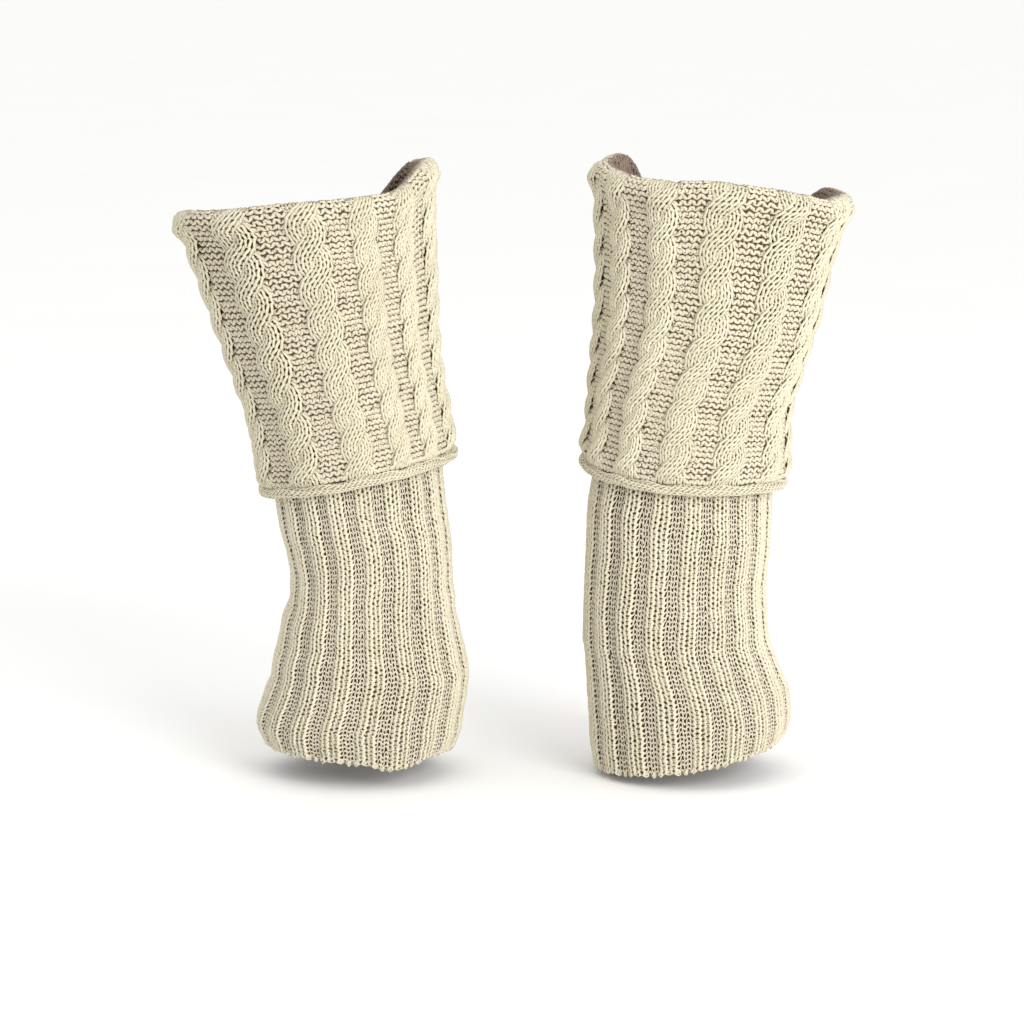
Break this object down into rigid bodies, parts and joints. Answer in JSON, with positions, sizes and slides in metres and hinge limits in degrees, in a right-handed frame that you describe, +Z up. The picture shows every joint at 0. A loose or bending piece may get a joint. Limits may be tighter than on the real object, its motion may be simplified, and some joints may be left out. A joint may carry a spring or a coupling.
{
  "type": "pair of cable knit leg warmers with turned-down cuffs",
  "caption": "Pair of worn knit leg warmers: ribbed tubes with long cabled cuffs folded down and ending in a rolled edge.",
  "frame": {"origin": "mount worn_on_legs: midway between the two warmers, level with the upper calf just above the cuffs' hems, where the legs hold the pair", "axes": "+X along the pair from the left-hand warmer to the right-hand one as seen from the front, +Y towards the back, +Z up the legs"},
  "size_m": [0.4021, 0.145, 0.3666],
  "materials": {
    "rib_knit": "matte cream wool blend yarn, two-by-two rib",
    "cable_knit": "matte cream wool blend yarn, rope cables on a purl ground",
    "edge_knit": "matte cream wool blend yarn, rolled bound-off edge"
  },
  "bodies": {
    "root": {"left_rib_tube": "rib_knit", "left_cable_cuff": "cable_knit", "left_rolled_edge": "edge_knit", "right_rib_tube": "rib_knit", "right_cable_cuff": "cable_knit", "right_rolled_edge": "edge_knit"}
  },
  "joints": []
}
